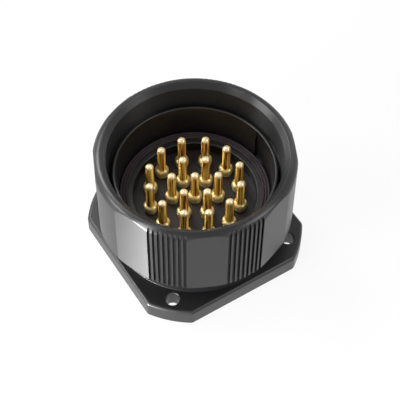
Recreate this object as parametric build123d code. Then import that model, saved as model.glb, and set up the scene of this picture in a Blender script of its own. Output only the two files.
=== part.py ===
from build123d import *
import math
import os

os.makedirs("parts", exist_ok=True)

# Circular multi-pin connector for panel mounting. Millimetres.
# The axis is Z and the mating side looks up. Height 0 is the back face of the
# square flange, which lies against the panel.

# Contacts: one in the middle, a ring of six and a ring of twelve
outer_count = 12
outer_circle_radius = 13.3
outer_angle = 15.0
inner_count = 6
inner_circle_radius = 6.6
inner_angle = 0.0
pin_radius = 1.2
pin_recess = 2.5
pin_tip_round = 0.85
collar_width = 0.65
collar_height = 1.0
collar_seat = 0.25
shank_radius = 1.5
clamped_flange_width = 0.6
clamped_flange_thickness = 1.0
contact_gap = 0.08
cup_radius = 1.75
cup_recess = 1.4
cup_step = 0.3
cup_wall = 0.55
cup_bore_depth = 4.5
cup_scoop = 3.0

# Insert: a front and a rear insulator, held by a slotted ring
insert_margin = 5.3
insulator_split = 5.5
insulator_back = -1.5
retainer_gap = 0.65
retainer_thickness = 2.0
retainer_slot_width = 2.6
retainer_slot_depth = 1.0
retainer_slots = 4

# Pocket for the insert, with a ledge that stops it from the front
pocket_gap = 0.1
ledge_width = 0.9
ledge_thickness = 3.4
ledge_height = 16.6
key_rib_width = 2.8
key_rib_depth = 0.9
key_gap = 0.1

# Sleeve round the pins
sleeve_step = 3.25
sleeve_wall = 1.55
sleeve_reach = 18.6
sleeve_rim_round = 0.5
sleeve_lead_in_width = 0.6
sleeve_lead_in_height = 3.3
sleeve_lead_in_round = 0.25
keyway_width = 4.0
keyway_depth = 0.6
keyway_angle = 90.0

# Pedestal below the coupling ring
pedestal_width = 1.4
pedestal_height = 6.5
pedestal_foot = 0.3
pedestal_round = 0.3

# Square flange
flange_thickness = 5.5
flange_edge_round = 0.8
flange_corner_blend = 5.0
screw_hole_radius = 2.0
screw_land = 0.9
screw_side_margin = 7.0
screw_corner_margin = 4.0

# Rear barrel behind the panel
barrel_wall = 1.7
barrel_length = 9.0
barrel_chamfer = 0.6

# Coupling ring
coupling_space = 1.3
ring_wall = 3.8
ring_height = 25.3
ring_bottom_chamfer = 0.5
shoulder_radius = 2.0
mouth_width = 1.5
mouth_depth = 1.5
lip_thickness = 3.0
running_gap = 0.08
end_play = 0.2
ring_angle = 20.0

# Coupling thread, deep in the ring between a plain bore above and a relief below
thread_pitch = 2.0
thread_depth = 0.45
thread_root_clearance = 0.05
thread_mouth_width = 1.2
thread_root_width = 0.5
thread_relief_height = 5.0
thread_height = 9.0
thread_overcut = 0.3
thread_angle = 41.0

# Grip of the coupling ring
flat_count = 8
flat_depth = 0.55
ribbed_zones = (2, 3, 6, 7)
grooves_per_zone = 8
groove_pitch = 1.45
groove_width = 0.72
groove_depth = 0.45

# Washer, snap ring and seals
washer_thickness = 0.5
washer_width = 0.9
washer_gap = 0.15
snap_thickness = 1.2
snap_width = 1.5
snap_gap_width = 5.0
snap_groove_depth = 0.6
groove_play = 0.05
seal_section_radius = 0.7
seal_groove_depth = 0.6
seal_groove_play = 0.05
groove_land = 0.6
gasket_width = 2.4
gasket_thickness = 0.8
gasket_gap = 0.2

# Radii that follow from them, from the contacts outwards
collar_radius = pin_radius + collar_width
clamped_flange_radius = shank_radius + clamped_flange_width
cup_bore_radius = cup_radius - cup_wall
retainer_bore = outer_circle_radius + cup_radius + retainer_gap
insert_radius = outer_circle_radius + insert_margin
pocket_radius = insert_radius + pocket_gap
barrel_radius = pocket_radius + barrel_wall
sleeve_bore = insert_radius + sleeve_step
neck_radius = sleeve_bore + sleeve_wall
pedestal_radius = neck_radius + pedestal_width
screw_circle_radius = pedestal_radius + pedestal_foot + screw_land + screw_hole_radius
screw_spacing = screw_circle_radius * math.sqrt(2)
flange_size = screw_spacing + 2 * screw_side_margin
flange_corner_radius = screw_circle_radius + screw_corner_margin
ring_bore = neck_radius + coupling_space
ring_radius = ring_bore + ring_wall
thread_root = ring_bore - thread_root_clearance
thread_crest = thread_root - thread_depth

# Heights that follow from them
cup_end = cup_recess - barrel_length
pedestal_top = flange_thickness + pedestal_height
ring_bottom = pedestal_top + washer_thickness + end_play
ring_top = ring_bottom + ring_height
lip_top = ring_bottom + lip_thickness
thread_bottom = lip_top + thread_relief_height
thread_top = thread_bottom + thread_height
thread_turns = math.ceil(thread_height / thread_pitch + 1)
snap_bottom = lip_top + end_play
snap_top = snap_bottom + snap_thickness
seal_bottom = snap_top + groove_play + groove_land
seal_top = seal_bottom + 2 * (seal_section_radius + seal_groove_play)
sleeve_top = pedestal_top + sleeve_reach
ledge_top = ledge_height + ledge_thickness
pin_top = sleeve_top - pin_recess


def turned(outline, rounds=()):
    # Solid turned about Z from (radius, height) points, with some corners rounded.
    section = make_face(Polyline(*outline, close=True))
    for corner, radius in rounds:
        vertex = section.vertices().sort_by_distance((*corner, 0))[0]
        section = fillet(vertex, radius)
    return revolve(Plane.XZ * section, Axis.Z)


def flat_ring(inner, outer, bottom, thickness):
    # Plain washer between two radii.
    section = Circle(outer) - Circle(inner)
    return Pos(0, 0, bottom) * extrude(section, thickness)


def radial_block(inner, outer, width, bottom, top, angle):
    # Block that runs outwards from one radius to another at the given angle.
    centre = Pos((inner + outer) / 2, 0, (bottom + top) / 2)
    return Rot(0, 0, angle) * centre * Box(outer - inner, width, top - bottom)


def write(node, solid):
    export_step(solid, f"parts/{node}.step")


# Flange, neck, sleeve and barrel in one piece
def make_flange_shell():
    tube = turned(
        [
            (pocket_radius, -barrel_length),
            (barrel_radius - barrel_chamfer, -barrel_length),
            (barrel_radius, -barrel_length + barrel_chamfer),
            (barrel_radius, 0),
            (pedestal_radius + pedestal_foot, 0),
            (pedestal_radius + pedestal_foot, flange_thickness),
            (pedestal_radius, flange_thickness + pedestal_foot),
            (pedestal_radius, pedestal_top),
            (neck_radius, pedestal_top),
            (neck_radius, snap_bottom - groove_play),
            (neck_radius - snap_groove_depth, snap_bottom - groove_play),
            (neck_radius - snap_groove_depth, snap_top + groove_play),
            (neck_radius, snap_top + groove_play),
            (neck_radius, seal_bottom),
            (neck_radius - seal_groove_depth, seal_bottom),
            (neck_radius - seal_groove_depth, seal_top),
            (neck_radius, seal_top),
            (neck_radius, sleeve_top),
            (sleeve_bore + sleeve_lead_in_width, sleeve_top),
            (sleeve_bore, sleeve_top - sleeve_lead_in_height),
            (sleeve_bore, ledge_top),
            (pocket_radius - ledge_width, ledge_top),
            (pocket_radius - ledge_width, ledge_height),
            (pocket_radius, ledge_height),
        ],
        [
            ((pedestal_radius, pedestal_top), pedestal_round),
            ((neck_radius, sleeve_top), sleeve_rim_round),
            ((sleeve_bore + sleeve_lead_in_width, sleeve_top), sleeve_lead_in_round),
        ],
    )
    plan = Rectangle(flange_size, flange_size) & Circle(flange_corner_radius)
    plan = fillet(plan.vertices(), flange_corner_blend)
    plate = extrude(plan - Circle(barrel_radius), flange_thickness)
    top_face = plate.faces().sort_by(Axis.Z)[-1]
    plate = fillet(top_face.outer_wire().edges(), flange_edge_round)
    for spot in GridLocations(screw_spacing, screw_spacing, 2, 2):
        plate -= spot * Cylinder(screw_hole_radius, 3 * flange_thickness)
    shell = tube + plate
    shell -= radial_block(sleeve_bore - 1, sleeve_bore + keyway_depth, keyway_width,
                          ledge_top, sleeve_top + 1, keyway_angle)
    shell += radial_block(pocket_radius - key_rib_depth, pocket_radius + 0.5, key_rib_width,
                          0, ledge_height, keyway_angle)
    return shell


def thread_turn():
    # One turn of the thread's groove, from height 0 upwards.
    slope = (thread_mouth_width - thread_root_width) / 2 / thread_depth
    half_mouth = thread_mouth_width / 2 + thread_overcut * slope
    section = Polyline(
        (thread_crest - thread_overcut, -half_mouth),
        (thread_root, -thread_root_width / 2),
        (thread_root, thread_root_width / 2),
        (thread_crest - thread_overcut, half_mouth),
        close=True,
    )
    path = Helix(thread_pitch, thread_pitch, thread_crest)
    return sweep(Plane.XZ * make_face(section), path=path, is_frenet=True)


# Grip ring with the coupling thread inside. Outside, four of the zones between the flats are ribbed
def make_coupling_ring():
    body = turned(
        [
            (neck_radius + running_gap, ring_bottom),
            (ring_radius - ring_bottom_chamfer, ring_bottom),
            (ring_radius, ring_bottom + ring_bottom_chamfer),
            (ring_radius, ring_top),
            (ring_bore + mouth_width, ring_top),
            (ring_bore, ring_top - mouth_depth),
            (ring_bore, thread_top + thread_depth),
            (thread_crest, thread_top),
            (thread_crest, thread_bottom),
            (ring_bore, thread_bottom - thread_depth),
            (ring_bore, lip_top),
            (neck_radius + running_gap, lip_top),
        ],
        [((ring_radius, ring_top), shoulder_radius)],
    )
    groove_turn = Rot(0, 0, thread_angle) * thread_turn()
    for turn in range(thread_turns):
        body -= Pos(0, 0, thread_bottom + (turn - 0.5) * thread_pitch) * groove_turn
    flat_distance = ring_radius - flat_depth
    zone_angle = 360 / flat_count
    groove_angle = math.degrees(groove_pitch / ring_radius)
    grip = RegularPolygon(flat_distance, flat_count, major_radius=False,
                          rotation=ring_angle + zone_angle / 2)
    for zone in ribbed_zones:
        middle = ring_angle + (zone + 0.5) * zone_angle
        for number in range(grooves_per_zone):
            angle = middle + (number - (grooves_per_zone - 1) / 2) * groove_angle
            groove = Rectangle(2 * groove_depth, groove_width)
            grip -= Rot(0, 0, angle) * Pos(ring_radius, 0) * groove
    return body & Pos(0, 0, ring_bottom - 1) * extrude(grip, ring_height + 2)


# Flat washer between the pedestal and the coupling ring
def make_friction_washer():
    inner = neck_radius + washer_gap
    return flat_ring(inner, inner + washer_width, pedestal_top, washer_thickness)


# Split ring in the neck's groove
def make_snap_ring():
    inner = neck_radius - snap_groove_depth + groove_play
    ring = flat_ring(inner, inner + snap_width, snap_bottom, snap_thickness)
    gap = radial_block(inner - 1, inner + snap_width + 1, snap_gap_width,
                       snap_bottom - 1, snap_top + 1, keyway_angle)
    return ring - gap


# O-ring in the neck's second groove
def make_coupling_seal():
    centre = neck_radius - seal_groove_depth + seal_groove_play + seal_section_radius
    return Pos(0, 0, (seal_bottom + seal_top) / 2) * Torus(centre, seal_section_radius)


# Gasket on the ledge inside the sleeve
def make_face_seal():
    outer = sleeve_bore - gasket_gap
    return flat_ring(outer - gasket_width, outer, ledge_top, gasket_thickness)


def contact_spots():
    # Centre, angle and place of each contact, outer ring first.
    spots = [(outer_circle_radius, outer_angle + i * 360 / outer_count) for i in range(outer_count)]
    spots += [(inner_circle_radius, inner_angle + i * 360 / inner_count) for i in range(inner_count)]
    return spots + [(0.0, 0.0)]


def insulator_disc(bottom, top):
    # Disc with the notch that slides over the pocket's key rib.
    disc = Pos(0, 0, bottom) * extrude(Circle(insert_radius), top - bottom)
    notch_inner = pocket_radius - key_rib_depth - key_gap
    notch_width = key_rib_width + 2 * key_gap
    return disc - radial_block(notch_inner, insert_radius + 1, notch_width,
                               bottom - 1, top + 1, keyway_angle)


def drilled(disc, radius, bottom, top):
    # The disc with one round hole or counterbore for each contact.
    for distance, angle in contact_spots():
        hole = Pos(0, 0, (bottom + top) / 2) * Cylinder(radius, top - bottom)
        disc -= Rot(0, 0, angle) * Pos(distance, 0, 0) * hole
    return disc


# Front disc of the insert
def make_front_insulator():
    disc = insulator_disc(insulator_split, ledge_height)
    disc = drilled(disc, shank_radius + contact_gap, insulator_split - 1, ledge_height + 1)
    disc = drilled(disc, collar_radius + contact_gap, ledge_height - collar_seat, ledge_height + 1)
    shoulder_top = insulator_split + clamped_flange_thickness / 2
    return drilled(disc, clamped_flange_radius + contact_gap, insulator_split - 1, shoulder_top)


# Rear disc of the insert
def make_rear_insulator():
    disc = insulator_disc(insulator_back, insulator_split)
    disc = drilled(disc, shank_radius + contact_gap, insulator_back - 1, insulator_split + 1)
    shoulder_bottom = insulator_split - clamped_flange_thickness / 2
    return drilled(disc, clamped_flange_radius + contact_gap, shoulder_bottom, insulator_split + 1)


# Slotted ring that holds the insert in the barrel
def make_insert_retainer():
    bottom = insulator_back - retainer_thickness
    ring = flat_ring(retainer_bore, insert_radius, bottom, retainer_thickness)
    for number in range(retainer_slots):
        angle = (number + 0.5) * 360 / retainer_slots
        ring -= radial_block(retainer_bore - 1, insert_radius + 1, retainer_slot_width,
                             bottom - 1, bottom + retainer_slot_depth, angle)
    return ring


# Turned pin with a collar, a clamped shoulder and a solder cup
def make_contact():
    collar_bottom = ledge_height - collar_seat
    shoulder_top = insulator_split + clamped_flange_thickness / 2
    shoulder_bottom = insulator_split - clamped_flange_thickness / 2
    pin = turned(
        [
            (0, pin_top),
            (pin_radius, pin_top),
            (pin_radius, ledge_height + collar_height),
            (collar_radius, ledge_height + collar_height),
            (collar_radius, collar_bottom),
            (shank_radius, collar_bottom),
            (shank_radius, shoulder_top),
            (clamped_flange_radius, shoulder_top),
            (clamped_flange_radius, shoulder_bottom),
            (shank_radius, shoulder_bottom),
            (shank_radius, insulator_back - cup_step),
            (cup_radius, insulator_back - cup_step),
            (cup_radius, cup_end),
            (0, cup_end),
        ],
        [((pin_radius, pin_top), pin_tip_round)],
    )
    pin -= Pos(0, 0, cup_end + cup_bore_depth / 2) * Cylinder(cup_bore_radius, cup_bore_depth)
    scoop = Box(cup_radius + 1, 2 * cup_radius + 1, cup_scoop)
    return pin - Pos((cup_radius + 1) / 2, 0, cup_end + cup_scoop / 2) * scoop


write("flange_shell", make_flange_shell())
write("coupling_ring", make_coupling_ring())
write("friction_washer", make_friction_washer())
write("snap_ring", make_snap_ring())
write("coupling_seal", make_coupling_seal())
write("face_seal", make_face_seal())
write("front_insulator", make_front_insulator())
write("rear_insulator", make_rear_insulator())
write("insert_retainer", make_insert_retainer())
for index, (distance, angle) in enumerate(contact_spots(), start=1):
    write(f"contact_{index:02d}", Rot(0, 0, angle) * Pos(distance, 0, 0) * make_contact())
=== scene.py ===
import math

import bmesh
import bpy
from mathutils import Matrix, Vector


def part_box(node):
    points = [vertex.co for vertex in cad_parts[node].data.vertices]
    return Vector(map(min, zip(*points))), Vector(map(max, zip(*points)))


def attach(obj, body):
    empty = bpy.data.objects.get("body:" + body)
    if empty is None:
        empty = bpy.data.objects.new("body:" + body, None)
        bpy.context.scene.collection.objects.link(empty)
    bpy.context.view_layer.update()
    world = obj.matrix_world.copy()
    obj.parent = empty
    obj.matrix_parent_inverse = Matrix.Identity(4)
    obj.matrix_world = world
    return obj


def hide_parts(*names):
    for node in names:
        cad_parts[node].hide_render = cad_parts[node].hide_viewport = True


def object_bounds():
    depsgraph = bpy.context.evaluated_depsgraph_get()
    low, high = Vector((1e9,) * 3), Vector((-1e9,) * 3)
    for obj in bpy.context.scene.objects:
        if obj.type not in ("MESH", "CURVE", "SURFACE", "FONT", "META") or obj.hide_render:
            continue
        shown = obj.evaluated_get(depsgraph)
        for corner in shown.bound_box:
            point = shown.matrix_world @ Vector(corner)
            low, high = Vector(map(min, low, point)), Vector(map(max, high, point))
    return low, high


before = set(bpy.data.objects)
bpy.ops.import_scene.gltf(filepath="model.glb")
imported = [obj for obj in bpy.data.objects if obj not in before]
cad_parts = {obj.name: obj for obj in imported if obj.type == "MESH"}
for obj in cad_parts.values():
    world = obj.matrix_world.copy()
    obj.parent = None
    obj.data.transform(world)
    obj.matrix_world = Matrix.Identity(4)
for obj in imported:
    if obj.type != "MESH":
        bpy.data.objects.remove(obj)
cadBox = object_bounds()
print("Connector loaded,", len(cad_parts), "pieces")

mm = 0.001
fullTurn = 2 * math.pi
beyond = 1.0  # how far a cutter reaches past what it cuts, in millimetres
alongAxis = {"X": 0.03, "Y": 0.02, "Z": 1.0}  # a tangent, tilted so that no face stands square to it

# Lengths are in millimetres, as on the drawing. What a user would change stands beside each piece.


def linear(hexText):  # sRGB hex to the linear colour that a shader wants
    parts = [int(hexText[i:i + 2], 16) / 255 for i in (1, 3, 5)]
    return [p / 12.92 if p <= 0.04045 else ((p + 0.055) / 1.055) ** 2.4 for p in parts] + [1.0]


def addNode(tree, kind, settings, links=None):  # a node with its settings and its links
    node = tree.nodes.new(kind)
    for name, value in settings.items():
        if isinstance(name, int) or name in node.inputs:
            node.inputs[name].default_value = value
        else:
            setattr(node, name, value)
    for name, source in (links or {}).items():
        tree.links.new(source, node.inputs[name])
    return node


def newMaterial(name):
    material = bpy.data.materials.new(name)
    material.use_nodes = True
    material.node_tree.nodes.clear()
    return material, material.node_tree


def roundOff(bm, edges, size, segments):
    bmesh.ops.bevel(bm, geom=edges, offset=size * mm, offset_type="OFFSET", segments=segments,
                    profile=0.5, affect="EDGES", material=-1)


def turnAbout(bm, verts, angle):  # about Z
    bmesh.ops.rotate(bm, cent=(0, 0, 0), matrix=Matrix.Rotation(angle, 3, "Z"), verts=verts)


def vertsIn(geom):
    return [v for v in geom if isinstance(v, bmesh.types.BMVert)]


def isUpright(edge):
    return abs(edge.verts[0].co.z - edge.verts[1].co.z) > mm


def turned(outline, steps, closed=True):
    # Spins an outline of (radius, height, corner radius) once round Z.
    bm = bmesh.new()
    corners = [bm.verts.new((r * mm, 0, z * mm)) for r, z, _ in outline]
    ends = corners[1:] + corners[:1] if closed else corners[1:]
    for start, end in zip(corners, ends):
        bm.edges.new((start, end))
    for corner, (_, _, radius) in zip(corners, outline):
        if radius:
            bmesh.ops.bevel(bm, geom=[corner], offset=radius * mm, offset_type="OFFSET", segments=6,
                            profile=0.5, affect="VERTICES", material=-1)
    bmesh.ops.spin(bm, geom=bm.verts[:] + bm.edges[:], cent=(0, 0, 0), axis=(0, 0, 1),
                   dvec=(0, 0, 0), angle=fullTurn, steps=steps, use_merge=True)
    bmesh.ops.remove_doubles(bm, verts=bm.verts, dist=0.0005 * mm)
    bmesh.ops.recalc_face_normals(bm, faces=bm.faces)
    return bm


def block(size, centre, edgeRound=0.0):  # a box, with its upright edges rounded
    bm = bmesh.new()
    made = bmesh.ops.create_cube(bm, size=1.0)["verts"]
    bmesh.ops.scale(bm, vec=Vector(size) * mm, verts=made)
    bmesh.ops.translate(bm, vec=Vector(centre) * mm, verts=made)
    if edgeRound:
        roundOff(bm, [e for e in bm.edges if isUpright(e)], edgeRound, 4)
    return bm


def cylinder(radius, bottom, top, steps):
    bm = bmesh.new()
    bmesh.ops.create_cone(bm, cap_ends=True, cap_tris=False, segments=steps, radius1=radius * mm,
                          radius2=radius * mm, depth=(top - bottom) * mm)
    bmesh.ops.translate(bm, vec=(0, 0, (bottom + top) / 2 * mm), verts=bm.verts)
    return bm


def repeatRound(bm, turns):  # copies of all that is in the bmesh, turned about Z by each angle
    original = bm.verts[:] + bm.edges[:] + bm.faces[:]
    for turn in turns:
        turnAbout(bm, vertsIn(bmesh.ops.duplicate(bm, geom=original)["geom"]), turn)


def trim(bm, distance, angle):  # cuts off what lies past a plane square to the angle, and closes the cut
    normal = Vector((math.cos(angle), math.sin(angle), 0))
    bmesh.ops.bisect_plane(bm, geom=bm.verts[:] + bm.edges[:] + bm.faces[:], dist=1e-8,
                           plane_co=normal * distance * mm, plane_no=normal, clear_outer=True)
    rim = [e for e in bm.edges if e.is_boundary]
    return bmesh.ops.edgenet_fill(bm, edges=rim)["faces"]


def toObject(name, bm):
    mesh = bpy.data.meshes.new(name)
    bm.to_mesh(mesh)
    bm.free()
    piece = bpy.data.objects.new(name, mesh)
    bpy.context.scene.collection.objects.link(piece)
    return piece


def cut(piece, tool, operation="DIFFERENCE"):  # a boolean, applied, which uses up the tool
    tool = toObject("tool", tool)
    change = piece.modifiers.new("cut", "BOOLEAN")
    change.object = tool
    change.operation = operation
    change.solver = "EXACT"
    depsgraph = bpy.context.evaluated_depsgraph_get()
    result = bpy.data.meshes.new_from_object(piece.evaluated_get(depsgraph))
    piece.modifiers.clear()
    old = piece.data
    piece.data = result
    bpy.data.meshes.remove(old)
    bpy.data.objects.remove(tool)


def finish(piece, material, body, nodes, crease):
    # Smooth shading up to the crease angle, the finish, the body it moves with and what it stands for.
    mesh = piece.data
    mesh.shade_smooth()
    mesh.set_sharp_from_angle(angle=math.radians(crease))
    weighted = piece.modifiers.new("even shading", "WEIGHTED_NORMAL")
    weighted.keep_sharp = True
    weighted.weight = 100
    mesh.materials.clear()
    mesh.materials.append(material)
    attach(piece, body)
    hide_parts(*nodes)
    return piece


# Materials


def anodisedAluminium(name, colour, roughness, turning, seal, dull):
    # Turned aluminium, dyed black and sealed. The turning marks run round the axis and draw the
    # highlights out along it, under the clear, glassy oxide of the sealed film. Cuts that the polishing
    # mop doesn't reach stay dull: they lie between two radii, below a height.
    inner, outer, top = [limit * mm for limit in dull]
    cutRoughness, cutSeal = 0.68, 0.15
    material, tree = newMaterial(name)
    place = addNode(tree, "ShaderNodeTexCoord", {}).outputs["Object"]
    # Grain left by the etch before the bath, about 0.1 mm, drawn at 0.25 mm so that it shows.
    grain = addNode(tree, "ShaderNodeTexNoise", {"Scale": 1 / (0.25 * mm), "Detail": 3.0, "Roughness": 0.6},
                    {"Vector": place})
    # The dye takes unevenly over about 9 mm.
    cloud = addNode(tree, "ShaderNodeTexNoise", {"Scale": 1 / (9 * mm), "Detail": 2.0}, {"Vector": place})
    tint = addNode(tree, "ShaderNodeMix", {"data_type": "RGBA", 6: linear(colour[0]), 7: linear(colour[1])},
                   {0: cloud.outputs["Fac"]})
    level = addNode(tree, "ShaderNodeVectorMath", {"operation": "MULTIPLY", 1: (1.0, 1.0, 0.0)}, {0: place})
    radius = addNode(tree, "ShaderNodeVectorMath", {"operation": "LENGTH"},
                     {0: level.outputs[0]}).outputs["Value"]
    height = addNode(tree, "ShaderNodeSeparateXYZ", {}, {0: place}).outputs["Z"]
    past = addNode(tree, "ShaderNodeMath", {"operation": "GREATER_THAN", 1: inner}, {0: radius})
    within = addNode(tree, "ShaderNodeMath", {"operation": "LESS_THAN", 1: outer}, {0: radius})
    below = addNode(tree, "ShaderNodeMath", {"operation": "LESS_THAN", 1: top}, {0: height})
    between = addNode(tree, "ShaderNodeMath", {"operation": "MULTIPLY"},
                      {0: past.outputs[0], 1: within.outputs[0]})
    cuts = addNode(tree, "ShaderNodeMath", {"operation": "MULTIPLY"},
                   {0: between.outputs[0], 1: below.outputs[0]})
    gloss = addNode(tree, "ShaderNodeMapRange",
                    {"From Min": 0.3, "From Max": 0.7,
                     "To Min": roughness - 0.04, "To Max": roughness + 0.05},
                    {"Value": grain.outputs["Fac"]})
    rough = addNode(tree, "ShaderNodeMix", {"data_type": "FLOAT", 3: cutRoughness},
                    {0: cuts.outputs[0], 2: gloss.outputs["Result"]})
    film = addNode(tree, "ShaderNodeMapRange", {"To Min": seal, "To Max": cutSeal},
                   {"Value": cuts.outputs[0]})
    relief = addNode(tree, "ShaderNodeBump", {"Strength": 0.05, "Distance": 0.02 * mm},
                     {"Height": grain.outputs["Fac"]})
    along = addNode(tree, "ShaderNodeCombineXYZ", alongAxis)
    skin = addNode(tree, "ShaderNodeBsdfPrincipled",
                   {"Metallic": 0.0, "IOR": 1.5, "Anisotropic": turning, "Coat Roughness": 0.25},
                   {"Base Color": tint.outputs[2], "Roughness": rough.outputs[0], "Tangent": along.outputs[0],
                    "Normal": relief.outputs["Normal"], "Coat Weight": film.outputs["Result"]})
    addNode(tree, "ShaderNodeOutputMaterial", {}, {"Surface": skin.outputs["BSDF"]})
    return material


def goldPlate(shankFoot, shankTop):
    # Gold over nickel on drawn brass rod. The drawing lines run along each pin and pull every highlight out
    # along it.
    # Dark brown and deep gold stripes are painted into the shank's colour: a painted reflection. The turned
    # tip and collar are bare of them.
    material, tree = newMaterial("gold_plate")
    place = addNode(tree, "ShaderNodeTexCoord", {}).outputs["Object"]
    height = addNode(tree, "ShaderNodeSeparateXYZ", {}, {0: place}).outputs["Z"]
    above = addNode(tree, "ShaderNodeMapRange",
                    {"From Min": shankFoot * mm, "From Max": (shankFoot + 0.3) * mm},
                    {"Value": height}).outputs["Result"]
    below = addNode(tree, "ShaderNodeMapRange",
                    {"From Min": (shankTop - 0.5) * mm, "From Max": shankTop * mm,
                     "To Min": 1.0, "To Max": 0.0},
                    {"Value": height}).outputs["Result"]
    shank = addNode(tree, "ShaderNodeMath", {"operation": "MULTIPLY"}, {0: above, 1: below}).outputs[0]
    # Painted reflection in stripes along the pin, standing for lines of 0.1 mm, drawn at 0.5 mm so that they
    # show, and 20 times as long.
    across = addNode(tree, "ShaderNodeMapping", {"Scale": (1.0, 1.0, 0.05)}, {"Vector": place})
    paintedStripeNoise = addNode(tree, "ShaderNodeTexNoise", {"Scale": 1 / (0.5 * mm), "Detail": 1.0},
                    {"Vector": across.outputs["Vector"]})
    paintedStripes = addNode(tree, "ShaderNodeMapRange",
                    {"From Min": 0.4, "From Max": 0.58, "To Min": 1.0, "To Max": 0.0},
                    {"Value": paintedStripeNoise.outputs["Fac"]})
    # Painted reflection: where the dark brown stripes lie on the shank.
    paintedDarkStripes = addNode(tree, "ShaderNodeMath", {"operation": "MULTIPLY"}, {0: shank, 1: paintedStripes.outputs["Result"]})
    # Painted highlight: the collar and the tip get a paler gold than the shank, besides the plating's own
    # colour.
    ends = addNode(tree, "ShaderNodeMix", {"data_type": "RGBA", 6: linear("#FFE69A"), 7: linear("#FFE8B8")},
                   {0: above})
    # The shank's deep gold, the light side of the painted reflection stripes.
    plain = addNode(tree, "ShaderNodeMix", {"data_type": "RGBA", 7: linear("#FFD45C")},
                    {0: shank, 6: ends.outputs[2]})
    # The dark brown of the painted reflection stripes.
    tint = addNode(tree, "ShaderNodeMix", {"data_type": "RGBA", 7: linear("#8A4C08")},
                   {0: paintedDarkStripes.outputs[0], 6: plain.outputs[2]})
    gloss = addNode(tree, "ShaderNodeMapRange", {"To Min": 0.3, "To Max": 0.5}, {"Value": shank})
    along = addNode(tree, "ShaderNodeCombineXYZ", alongAxis)
    skin = addNode(tree, "ShaderNodeBsdfPrincipled", {"Metallic": 0.7, "Anisotropic": 1.0},
                   {"Base Color": tint.outputs[2], "Roughness": gloss.outputs["Result"],
                    "Tangent": along.outputs[0]})
    addNode(tree, "ShaderNodeOutputMaterial", {}, {"Surface": skin.outputs["BSDF"]})
    return material


def mouldedThermoset():
    # Black glass-filled thermoset: satin, with fibres of 0.5 mm showing as a faint brown mottle.
    material, tree = newMaterial("moulded_thermoset")
    place = addNode(tree, "ShaderNodeTexCoord", {}).outputs["Object"]
    fibre = addNode(tree, "ShaderNodeTexNoise", {"Scale": 1 / (0.5 * mm), "Detail": 4.0, "Distortion": 0.6},
                    {"Vector": place})
    tint = addNode(tree, "ShaderNodeMix", {"data_type": "RGBA", 6: linear("#130E0C"), 7: linear("#231A16")},
                   {0: fibre.outputs["Fac"]})
    relief = addNode(tree, "ShaderNodeBump", {"Strength": 0.1, "Distance": 0.02 * mm},
                     {"Height": fibre.outputs["Fac"]})
    skin = addNode(tree, "ShaderNodeBsdfPrincipled", {"Roughness": 0.4, "IOR": 1.5},
                   {"Base Color": tint.outputs[2], "Normal": relief.outputs["Normal"]})
    addNode(tree, "ShaderNodeOutputMaterial", {}, {"Surface": skin.outputs["BSDF"]})
    return material


def sealRubber():
    # Fluorosilicone seal: a dull mauve-brown rubber with a dusty bloom in patches of 1.2 mm.
    material, tree = newMaterial("seal_rubber")
    place = addNode(tree, "ShaderNodeTexCoord", {}).outputs["Object"]
    bloom = addNode(tree, "ShaderNodeTexNoise", {"Scale": 1 / (1.2 * mm), "Detail": 5.0}, {"Vector": place})
    tint = addNode(tree, "ShaderNodeMix", {"data_type": "RGBA", 6: linear("#2A2226"), 7: linear("#3A3035")},
                   {0: bloom.outputs["Fac"]})
    skin = addNode(tree, "ShaderNodeBsdfPrincipled", {"Roughness": 0.5, "IOR": 1.42},
                   {"Base Color": tint.outputs[2]})
    addNode(tree, "ShaderNodeOutputMaterial", {}, {"Surface": skin.outputs["BSDF"]})
    return material


def rolledSteel(name, colour, roughness):
    # Steel strip, with the grain of the rolls, about 0.4 mm.
    material, tree = newMaterial(name)
    place = addNode(tree, "ShaderNodeTexCoord", {}).outputs["Object"]
    grain = addNode(tree, "ShaderNodeTexNoise", {"Scale": 1 / (0.4 * mm), "Detail": 3.0}, {"Vector": place})
    gloss = addNode(tree, "ShaderNodeMapRange",
                    {"From Min": 0.3, "From Max": 0.7,
                     "To Min": roughness - 0.05, "To Max": roughness + 0.08},
                    {"Value": grain.outputs["Fac"]})
    skin = addNode(tree, "ShaderNodeBsdfPrincipled", {"Base Color": linear(colour), "Metallic": 1.0},
                   {"Roughness": gloss.outputs["Result"]})
    addNode(tree, "ShaderNodeOutputMaterial", {}, {"Surface": skin.outputs["BSDF"]})
    return material


shellFinish = anodisedAluminium("black_anodised_shell", colour=("#0A090B", "#100E11"), roughness=0.46,
                               turning=0.0, seal=0.36, dull=(0, 0, 0))
ringFinish = anodisedAluminium("black_anodised_ring", colour=("#0C0B0C", "#121112"), roughness=0.42,
                              turning=1.0, seal=0.5, dull=(27.0, 27.9, 36.2))
goldFinish = goldPlate(shankFoot=19.1, shankTop=27.6)
insulatorFinish = mouldedThermoset()
rubberFinish = sealRubber()
washerFinish = rolledSteel("stainless_washer", colour="#A9A9AC", roughness=0.35)
clipFinish = rolledSteel("blackened_spring_steel", colour="#3A393B", roughness=0.4)
print("Finishes made")


# Coupling ring: it fills the drawing's box, which gives its height and outer radius

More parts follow.
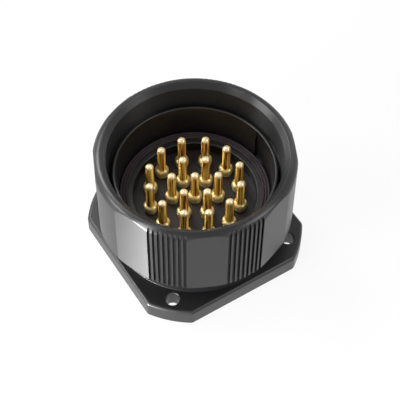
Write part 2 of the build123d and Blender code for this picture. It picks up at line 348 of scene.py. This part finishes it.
couplingRing = {
    "bore": 24.7,
    "mouth": 1.5,
    "mouthEdge": 0.12,
    "shoulderRadius": 2.0,
    "bottomEdge": 0.5,
    "bottomRound": 0.2,
    "lipThickness": 3.0,
    "lipBore": 23.48,
    "lipFillet": 0.3,
    "innerRound": 0.15,
    "bandFillet": 0.2,
    "flats": 8,
    "flatDepth": 0.55,
    "firstFlat": 20.0,  # degrees from X
    "flatEdge": 0.12,
    "flatArea": 100.0,  # square millimetres, which only the flats pass
    "ribbedZones": (2, 3, 6, 7),  # gaps between flats, counted from the first flat
    "grooves": 8,
    "groovePitch": 1.45,
    "grooveWidth": 0.82,
    "grooveDepth": 0.8,
    "grooveFlare": 0.1,
    "grooveRound": 0.16,
    "threadPitch": 2.0,
    "threadHeights": (20.7, 28.2),
    "threadStart": 41.0,
    "threadRoot": 24.65,
    "threadDepth": 0.45,
    "threadWidth": 1.2,
    "rootWidth": 0.5,
    "threadOvercut": 0.3,
    "threadSteps": 96,  # for each turn
    "steps": 288,
    "crease": 20,
}


def ringBlank(bottom, top, outer):
    # The turned blank, before the grooves, the thread and the flats.
    ring = couplingRing
    bore, depth, (low, high) = ring["bore"], ring["threadDepth"], ring["threadHeights"]
    crest = ring["threadRoot"] - depth
    lipTop = bottom + ring["lipThickness"]
    outline = [
        (ring["lipBore"], bottom, ring["innerRound"]),
        (outer - ring["bottomEdge"], bottom, ring["bottomRound"]),
        (outer, bottom + ring["bottomEdge"], ring["bottomRound"]),
        (outer, top, ring["shoulderRadius"]),
        (bore + ring["mouth"], top, ring["mouthEdge"]),
        (bore, top - ring["mouth"], ring["innerRound"]),
        (bore, high + depth, ring["bandFillet"]),
        (crest, high, ring["innerRound"]),
        (crest, low, ring["innerRound"]),
        (bore, low - depth, ring["bandFillet"]),
        (bore, lipTop, ring["lipFillet"]),
        (ring["lipBore"], lipTop, ring["innerRound"]),
    ]
    return turned(outline, ring["steps"])


def grooveCutter(outer, bottom, top):
    # One groove with a rounded bottom and flared lips, repeated over the ribbed zones.
    ring = couplingRing
    half, flare, depth = ring["grooveWidth"] / 2, ring["grooveFlare"], ring["grooveDepth"]
    bm = bmesh.new()
    section = [
        (outer - depth, -half), (outer - flare, -half), (outer + 2 * flare, -half - 3 * flare),
        (outer + 2 * flare, half + 3 * flare), (outer - flare, half), (outer - depth, half),
    ]
    base = bm.faces.new([bm.verts.new((x * mm, y * mm, (bottom - beyond) * mm)) for x, y in section])
    grown = bmesh.ops.extrude_face_region(bm, geom=[base])
    bmesh.ops.translate(bm, vec=(0, 0, (top - bottom + 2 * beyond) * mm), verts=vertsIn(grown["geom"]))
    inner = (outer - 2 * flare) * mm
    roundOff(bm, [e for e in bm.edges if isUpright(e) and all(v.co.x < inner for v in e.verts)],
             ring["grooveRound"], 3)
    step, zone = ring["groovePitch"] / outer, fullTurn / ring["flats"]
    zones = ring["ribbedZones"]
    first = math.radians(ring["firstFlat"]) + (zones[0] + 0.5) * zone - step * (ring["grooves"] - 1) / 2
    turnAbout(bm, bm.verts, first)
    repeatRound(bm, [step * number for number in range(1, ring["grooves"])])
    repeatRound(bm, [(other - zones[0]) * zone for other in zones[1:]])
    bmesh.ops.recalc_face_normals(bm, faces=bm.faces)
    return bm


def threadCutter():
    # A trapezoid wound up through the raised band, from one turn below it to one above.
    ring = couplingRing
    root, depth, extra = ring["threadRoot"], ring["threadDepth"], ring["threadOvercut"]
    pitch, steps, (low, high) = ring["threadPitch"], ring["threadSteps"], ring["threadHeights"]
    deep = ring["rootWidth"] / 2
    wide = deep + (ring["threadWidth"] / 2 - deep) * (depth + extra) / depth
    inner = root - depth - extra
    start = low - pitch / 2
    turns = math.ceil((high - low) / pitch + 1)
    bm = bmesh.new()
    section = [(inner, -wide), (root, -deep), (root, deep), (inner, wide)]
    corners = [bm.verts.new((r * mm, 0, (start + z) * mm)) for r, z in section]
    for corner, following in zip(corners, corners[1:] + corners[:1]):
        bm.edges.new((corner, following))
    bmesh.ops.spin(bm, geom=bm.verts[:] + bm.edges[:], cent=(0, 0, 0), axis=(0, 0, 1),
                   dvec=(0, 0, pitch / steps * mm), angle=turns * fullTurn, steps=turns * steps)
    bmesh.ops.holes_fill(bm, edges=[e for e in bm.edges if e.is_boundary], sides=0)
    turnAbout(bm, bm.verts, math.radians(ring["threadStart"]))
    bmesh.ops.recalc_face_normals(bm, faces=bm.faces)
    return bm


def makeCouplingRing():
    ring = couplingRing
    low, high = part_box("coupling_ring")
    outer, bottom, top = high.x / mm, low.z / mm, high.z / mm
    piece = toObject("grip_ring", ringBlank(bottom, top, outer))
    cut(piece, grooveCutter(outer, bottom, top))
    cut(piece, threadCutter())
    bm = bmesh.new()
    bm.from_mesh(piece.data)
    shoulderFoot = (top - ring["shoulderRadius"]) * mm
    for number in range(ring["flats"]):
        angle = math.radians(ring["firstFlat"]) + number * fullTurn / ring["flats"]
        flats = trim(bm, outer - ring["flatDepth"], angle)
        arch = [e for f in flats for e in f.edges if all(v.co.z > shoulderFoot for v in e.verts)]
        roundOff(bm, arch, ring["flatEdge"], 2)
    bmesh.ops.recalc_face_normals(bm, faces=bm.faces)
    bm.to_mesh(piece.data)
    bm.free()
    finish(piece, ringFinish, "grip", ["coupling_ring"], ring["crease"])
    for face in piece.data.polygons:  # the flats stay plane up to their edges
        if face.area > ring["flatArea"] * mm * mm:
            face.use_smooth = False


makeCouplingRing()
print("Coupling ring made")


# Shell: flange, pedestal, neck, sleeve and rear barrel

shell = {
    "pocket": 18.7,
    "pocketRound": 0.25,
    "barrel": 20.4,
    "barrelEnd": -9.0,
    "barrelChamfer": 0.6,
    "flangeThickness": 5.5,
    "flangeHalf": 26.8,
    "cornerRadius": 32.0,
    "cornerBlend": 0.5,  # how far it reaches along each side
    "flangeEdge": 0.9,
    "flangeFoot": 0.25,
    "waist": (0.3, 0.02),  # how far the body spreads inside the flange, and how deep under its faces
    "pedestal": 24.8,
    "pedestalTop": 12.0,
    "pedestalRound": 0.3,
    "pedestalFillet": 0.12,
    "neck": 23.4,
    "snapGroove": (15.85, 17.15, 22.8),  # from, to, radius of its floor
    "sealGroove": (17.75, 19.25, 22.8),
    "grooveEdge": 0.1,
    "sleeveTop": 30.6,
    "sleeveBore": 21.85,
    "leadIn": (0.6, 3.3),  # width, depth
    "rimRound": 0.5,
    "leadInRound": 0.25,
    "ledge": (17.8, 16.6, 20.0),  # radius of its bore, from, to
    "ledgeRound": 0.3,
    "fillet": 0.2,
    "edgeBreak": 0.15,
    "screwSpacing": 39.598,
    "screwHole": 2.0,
    "screwBevel": 0.15,
    "keyway": (4.0, 0.6),  # width, depth
    "keywayRound": 0.25,
    "keyRib": (2.8, 0.9),  # width, height
    "keyRibFoot": 0.5,
    "keyRibGap": 0.2,
    "steps": 256,
    "flangeSteps": 144,
    "screwSteps": 48,
    "crease": 22,
}


def shellBlank():
    # The turned body. Its waist is hidden in the flange plate.
    s = shell
    edge, fillet, groove, (flare, sunk) = s["edgeBreak"], s["fillet"], s["grooveEdge"], s["waist"]
    snapLow, snapHigh, snapFloor = s["snapGroove"]
    sealLow, sealHigh, sealFloor = s["sealGroove"]
    ledgeBore, ledgeLow, ledgeTop = s["ledge"]
    middle, top = s["flangeThickness"] / 2, s["flangeThickness"]
    outline = [
        (s["pocket"], s["barrelEnd"], s["pocketRound"]),
        (s["barrel"] - s["barrelChamfer"], s["barrelEnd"], edge),
        (s["barrel"], s["barrelEnd"] + s["barrelChamfer"], edge),
        (s["barrel"], sunk, fillet),
        (s["barrel"] + flare, sunk, 0),
        (s["barrel"] + flare, middle, 0),
        (s["pedestal"] + flare, middle, 0),
        (s["pedestal"] + flare, top - sunk, 0),
        (s["pedestal"], top - sunk, s["pedestalFillet"]),
        (s["pedestal"], s["pedestalTop"], s["pedestalRound"]),
        (s["neck"], s["pedestalTop"], fillet),
        (s["neck"], snapLow, groove), (snapFloor, snapLow, groove),
        (snapFloor, snapHigh, groove), (s["neck"], snapHigh, groove),
        (s["neck"], sealLow, groove), (sealFloor, sealLow, fillet),
        (sealFloor, sealHigh, fillet), (s["neck"], sealHigh, groove),
        (s["neck"], s["sleeveTop"], s["rimRound"]),
        (s["sleeveBore"] + s["leadIn"][0], s["sleeveTop"], s["leadInRound"]),
        (s["sleeveBore"], s["sleeveTop"] - s["leadIn"][1], 0),
        (s["sleeveBore"], ledgeTop, s["ledgeRound"]),
        (ledgeBore, ledgeTop, s["ledgeRound"]),
        (ledgeBore, ledgeLow, edge),
        (s["pocket"], ledgeLow, groove),
    ]
    return turned(outline, s["steps"])


def flangePlate():
    # A disc trimmed to a square, with blended corners and rounded rims.
    s = shell
    top = s["flangeThickness"]
    bm = cylinder(s["cornerRadius"], 0, top, s["flangeSteps"])
    for number in range(4):
        trim(bm, s["flangeHalf"], number * fullTurn / 4)
    sharp = 4 * fullTurn / s["flangeSteps"]  # the disc's own facets turn by less
    corners = [e for e in bm.edges if isUpright(e) and e.calc_face_angle(0) > sharp]
    roundOff(bm, corners, s["cornerBlend"], 5)
    for height, size, segments in ((top, s["flangeEdge"], 5), (0, s["flangeFoot"], 2)):
        rim = [e for e in bm.edges if all(abs(v.co.z - height * mm) < 1e-7 for v in e.verts)]
        roundOff(bm, rim, size, segments)
    bmesh.ops.recalc_face_normals(bm, faces=bm.faces)
    return bm


def screwCutter():
    # A pin that flares out past both faces, so that it bevels the hole, at each corner.
    s = shell
    radius, bevel, top = s["screwHole"], s["screwBevel"], s["flangeThickness"]
    wide = radius + bevel
    outline = [
        (0, -beyond, 0), (wide + beyond, -beyond, 0), (wide, 0, 0), (radius, bevel, 0),
        (radius, top - bevel, 0), (wide, top, 0), (wide + beyond, top + beyond, 0), (0, top + beyond, 0),
    ]
    bm = turned(outline, s["screwSteps"], closed=False)
    half = s["screwSpacing"] / 2 * mm
    bmesh.ops.translate(bm, vec=(half, half, 0), verts=bm.verts)
    repeatRound(bm, [number * fullTurn / 4 for number in (1, 2, 3)])
    bmesh.ops.recalc_face_normals(bm, faces=bm.faces)
    return bm


def makeShell():
    s = shell
    _, ledgeLow, ledgeTop = s["ledge"]
    piece = toObject("shell", flangePlate())
    insideTheWall = (s["pocket"] + s["barrel"]) / 2
    cut(piece, cylinder(insideTheWall, -beyond, s["flangeThickness"] + beyond, s["steps"]))
    cut(piece, shellBlank(), "UNION")
    cut(piece, screwCutter())
    width, depth = s["keyway"]
    reach = s["sleeveTop"] + beyond - ledgeTop
    centre = (0, s["sleeveBore"] + (depth - beyond) / 2, ledgeTop + reach / 2)
    cut(piece, block((width, depth + beyond, reach), centre, s["keywayRound"]))
    width, depth = s["keyRib"]
    centre = (0, s["pocket"] - (depth - s["keyRibFoot"]) / 2, ledgeLow / 2)
    cut(piece, block((width, depth + s["keyRibFoot"], ledgeLow - s["keyRibGap"]), centre), "UNION")
    finish(piece, shellFinish, "receptacle", ["flange_shell"], s["crease"])


makeShell()
print("Shell made")


# Contacts

contact = {
    "pin": 1.2,
    "pinTop": 28.1,
    "tipRound": 0.85,
    "pinFillet": 0.12,
    "collar": 2.05,
    "collarTop": 19.15,
    "collarRound": 0.8,
    "collarFoot": 17.2,
    "collarUnderRound": 0.35,
    "seat": (1.85, 16.35),  # radius, height
    "seatTaper": (0.15, 0.35),  # inwards, up
    "seatRound": 0.08,
    "shank": 1.5,
    "shoulder": (2.1, 5.0, 6.0),  # radius, from, to
    "shoulderRound": 0.1,
    "cup": 1.75,
    "cupTop": -1.8,
    "cupTopRound": 0.15,
    "cupEnd": -7.6,
    "cupEndRound": 0.12,
    "cupBore": 1.2,
    "cupDepth": 4.5,
    "cupFloorFillet": 0.2,
    "drillPoint": 0.6,
    "scoop": 3.0,
    "rings": ((13.3, 12, 15.0), (6.6, 6, 0.0), (0.0, 1, 0.0)),  # radius, contacts, degrees to the first
    "steps": 48,
    "crease": 30,
}


def contactBlank():
    c = contact
    seat, seatBottom = c["seat"]
    taperIn, taperUp = c["seatTaper"]
    shoulder, shoulderLow, shoulderHigh = c["shoulder"]
    boreTop = c["cupEnd"] + c["cupDepth"]
    outline = [
        (0, c["pinTop"], 0),
        (c["pin"], c["pinTop"], c["tipRound"]),
        (c["pin"], c["collarTop"], c["pinFillet"]),
        (c["collar"], c["collarTop"], c["collarRound"]),
        (c["collar"], c["collarFoot"], c["collarUnderRound"]),
        (seat - taperIn, c["collarFoot"], 0),
        (seat, seatBottom + taperUp, 0),
        (seat, seatBottom, c["seatRound"]),
        (c["shank"], seatBottom, 0),
        (c["shank"], shoulderHigh, 0),
        (shoulder, shoulderHigh, c["shoulderRound"]),
        (shoulder, shoulderLow, c["shoulderRound"]),
        (c["shank"], shoulderLow, 0),
        (c["shank"], c["cupTop"], c["shoulderRound"]),
        (c["cup"], c["cupTop"], c["cupTopRound"]),
        (c["cup"], c["cupEnd"], c["cupEndRound"]),
        (c["cupBore"], c["cupEnd"], c["shoulderRound"]),
        (c["cupBore"], boreTop, c["cupFloorFillet"]),
        (0, boreTop + c["drillPoint"], 0),
    ]
    return turned(outline, c["steps"], closed=False)


def makeContacts():
    # One contact is turned and its cup scooped, then it is copied to each place.
    c = contact
    pattern = toObject("contact_pattern", contactBlank())
    reach = c["cup"] + beyond
    centre = (reach / 2, 0, c["cupEnd"] + (c["scoop"] - beyond) / 2)
    cut(pattern, block((reach, 2 * reach, c["scoop"] + beyond), centre))
    number = 0
    for radius, count, first in c["rings"]:
        for place in range(count):
            number += 1
            bm = bmesh.new()
            bm.from_mesh(pattern.data)
            bmesh.ops.translate(bm, vec=(radius * mm, 0, 0), verts=bm.verts)
            turnAbout(bm, bm.verts, math.radians(first) + place * fullTurn / count)
            piece = toObject(f"pin_{number:02d}", bm)
            finish(piece, goldFinish, "receptacle", [f"contact_{number:02d}"], c["crease"])
    bpy.data.objects.remove(pattern)


makeContacts()
print("Contacts made")


# Face seal

faceSeal = {
    "inner": 19.25,
    "outer": 21.65,
    "bottom": 20.0,
    "web": 20.45,
    "top": 20.8,
    "edgeRound": 0.1,
    "ridges": 3,
    "ridgeWidth": 0.5,
    "ridgeFoot": 0.1,
    "ridgeDraft": 0.05,
    "ridgeFillet": 0.06,
    "ridgeRound": 0.12,
    "steps": 192,
    "crease": 35,
}


def makeFaceSeal():
    # A flat gasket with moulded ridges that the plug's shell presses down.
    f = faceSeal
    web, top, fillet, ridgeRound = f["web"], f["top"], f["ridgeFillet"], f["ridgeRound"]
    outline = [(f["inner"], f["bottom"], 0), (f["outer"], f["bottom"], 0), (f["outer"], web, f["edgeRound"])]
    room = (f["outer"] - f["inner"]) / f["ridges"]
    wide, narrow = f["ridgeWidth"] / 2 + f["ridgeFoot"], f["ridgeWidth"] / 2 - f["ridgeDraft"]
    for number in range(f["ridges"]):
        middle = f["outer"] - (number + 0.5) * room
        outline += [(middle + wide, web, fillet), (middle + narrow, top, ridgeRound),
                    (middle - narrow, top, ridgeRound), (middle - wide, web, fillet)]
    outline += [(f["inner"], web, f["edgeRound"])]
    piece = toObject("ribbed_gasket", turned(outline, f["steps"]))
    finish(piece, rubberFinish, "receptacle", ["face_seal"], f["crease"])


makeFaceSeal()
print("Face seal made")

# The other pieces keep the shape of the drawing and get their finish
carriedOver = {
    "insert_retainer": shellFinish,
    "friction_washer": washerFinish,
    "snap_ring": clipFinish,
    "coupling_seal": rubberFinish,
    "front_insulator": insulatorFinish,
    "rear_insulator": insulatorFinish,
}
for name, material in carriedOver.items():
    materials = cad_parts[name].data.materials
    materials.clear()
    materials.append(material)


# Floor, light and camera

studio = {
    "floorColour": "#F0F0F0",
    "floorHalf": 1.5,  # metres
    "tentLight": 0.44,
    "tentHorizon": 1.0,
    "tentTop": 0.62,
    "tentRise": (0.2, 0.7),  # where the walls turn into the roof, as the sine of the elevation
    "floorShare": 0.86,  # how much of the floor is plain white to the camera
    "reflectedShare": 0.95,  # and to metal and glass
    # degrees round from the camera, elevation, distance and size in metres, power in watts
    "softboxes": {
        "low key": (-47.5, 6, 0.20, 0.05, 1.3),
        "left softbox": (-84, 40, 0.60, 0.20, 1.3),
        "back softbox": (-140, 50, 0.60, 0.20, 1.4),
        "right softbox": (82, 55, 0.60, 0.18, 0.7),
    },
}


def makeFloor():
    bm = bmesh.new()
    bmesh.ops.create_grid(bm, x_segments=1, y_segments=1, size=studio["floorHalf"])
    bmesh.ops.translate(bm, vec=(0, 0, cadBox[0][2]), verts=bm.verts)
    floor = toObject("studio_floor", bm)
    material, tree = newMaterial("white_sweep")
    rays = addNode(tree, "ShaderNodeLightPath", {})
    mirrored = addNode(tree, "ShaderNodeMath", {"operation": "MAXIMUM"},
                       {0: rays.outputs["Is Glossy Ray"], 1: rays.outputs["Is Transmission Ray"]})
    seen = addNode(tree, "ShaderNodeMath", {"operation": "MULTIPLY", 1: studio["floorShare"]},
                   {0: rays.outputs["Is Camera Ray"]})
    part = addNode(tree, "ShaderNodeMath", {"operation": "MULTIPLY_ADD", 1: studio["reflectedShare"]},
                   {0: mirrored.outputs[0], 2: seen.outputs[0]})
    shade = addNode(tree, "ShaderNodeBsdfDiffuse", {"Color": linear(studio["floorColour"])})
    glow = addNode(tree, "ShaderNodeEmission", {"Color": (1, 1, 1, 1), "Strength": 1.0})
    both = addNode(tree, "ShaderNodeMixShader", {},
                   {0: part.outputs[0], 1: shade.outputs[0], 2: glow.outputs[0]})
    addNode(tree, "ShaderNodeOutputMaterial", {}, {"Surface": both.outputs[0]})
    floor.data.materials.append(material)


def makeWorld():
    # A white tent: plain light on the object, and in reflections white walls under a greyer roof.
    world = bpy.data.worlds.new("light_tent")
    bpy.context.scene.world = world
    world.use_nodes = True
    tree = world.node_tree
    tree.nodes.clear()
    direction = addNode(tree, "ShaderNodeTexCoord", {}).outputs["Generated"]
    height = addNode(tree, "ShaderNodeSeparateXYZ", {}, {0: direction}).outputs["Z"]
    low, high = studio["tentRise"]
    walls = addNode(tree, "ShaderNodeMapRange",
                    {"From Min": low, "From Max": high,
                     "To Min": studio["tentHorizon"], "To Max": studio["tentTop"]},
                    {"Value": height})
    rays = addNode(tree, "ShaderNodeLightPath", {})
    mirrored = addNode(tree, "ShaderNodeMath", {"operation": "MAXIMUM"},
                       {0: rays.outputs["Is Glossy Ray"], 1: rays.outputs["Is Transmission Ray"]})
    plain = addNode(tree, "ShaderNodeMapRange", {"To Min": studio["tentLight"], "To Max": 1.0},
                    {"Value": rays.outputs["Is Camera Ray"]})
    strength = addNode(tree, "ShaderNodeMix", {"data_type": "FLOAT"},
                       {0: mirrored.outputs[0], 2: plain.outputs["Result"], 3: walls.outputs["Result"]})
    tent = addNode(tree, "ShaderNodeBackground", {"Color": (1, 1, 1, 1)}, {"Strength": strength.outputs[0]})
    addNode(tree, "ShaderNodeOutputWorld", {}, {"Surface": tent.outputs[0]})


# The camera's target is given as seen with the camera over -Y, before the turn about Z
camera = {
    "azimuth": 57.5,
    "elevation": 54.04,
    "distance": 331.4,
    "roll": 0.543,
    "target": (1.469, -3.027, 20.0),
    "lens": 104.26,
    "sensor": 36.0,
    "nearest": 10.0,
}
viewTurn = Matrix.Rotation(math.radians(camera["azimuth"]), 4, "Z")


def makeCamera():
    lift, roll = math.radians(camera["elevation"]), math.radians(camera["roll"])
    lens = bpy.data.cameras.new("camera")
    lens.lens = camera["lens"]
    lens.sensor_width = camera["sensor"]
    lens.clip_start = camera["nearest"] * mm
    back = Vector((0, -math.cos(lift), math.sin(lift)))
    place = Vector(camera["target"]) * mm + back * camera["distance"] * mm
    holder = bpy.data.objects.new("camera", lens)
    bpy.context.scene.collection.objects.link(holder)
    stand = Matrix.Rotation(math.pi / 2 - lift, 4, "X") @ Matrix.Rotation(roll, 4, "Z")
    holder.matrix_world = viewTurn @ Matrix.Translation(place) @ stand
    bpy.context.scene.camera = holder


def makeSoftbox(name, side, lift, distance, size, power):
    lamp = bpy.data.lights.new(name, "AREA")
    lamp.shape = "SQUARE"
    lamp.size = size
    lamp.energy = power
    box = bpy.data.objects.new(name, lamp)
    box.visible_camera = False  # it lights the object, and doesn't show behind it
    bpy.context.scene.collection.objects.link(box)
    side, lift = math.radians(side), math.radians(lift)
    level = math.cos(lift)
    away = viewTurn @ Vector((math.sin(side) * level, -math.cos(side) * level, math.sin(lift)))
    box.matrix_world = Matrix.Translation(away * distance) @ away.to_track_quat("Z", "Y").to_matrix().to_4x4()


makeFloor()
makeWorld()
makeCamera()
for name, setting in studio["softboxes"].items():
    makeSoftbox(name, *setting)
bpy.context.scene.view_settings.view_transform = "Standard"
print("Studio set")
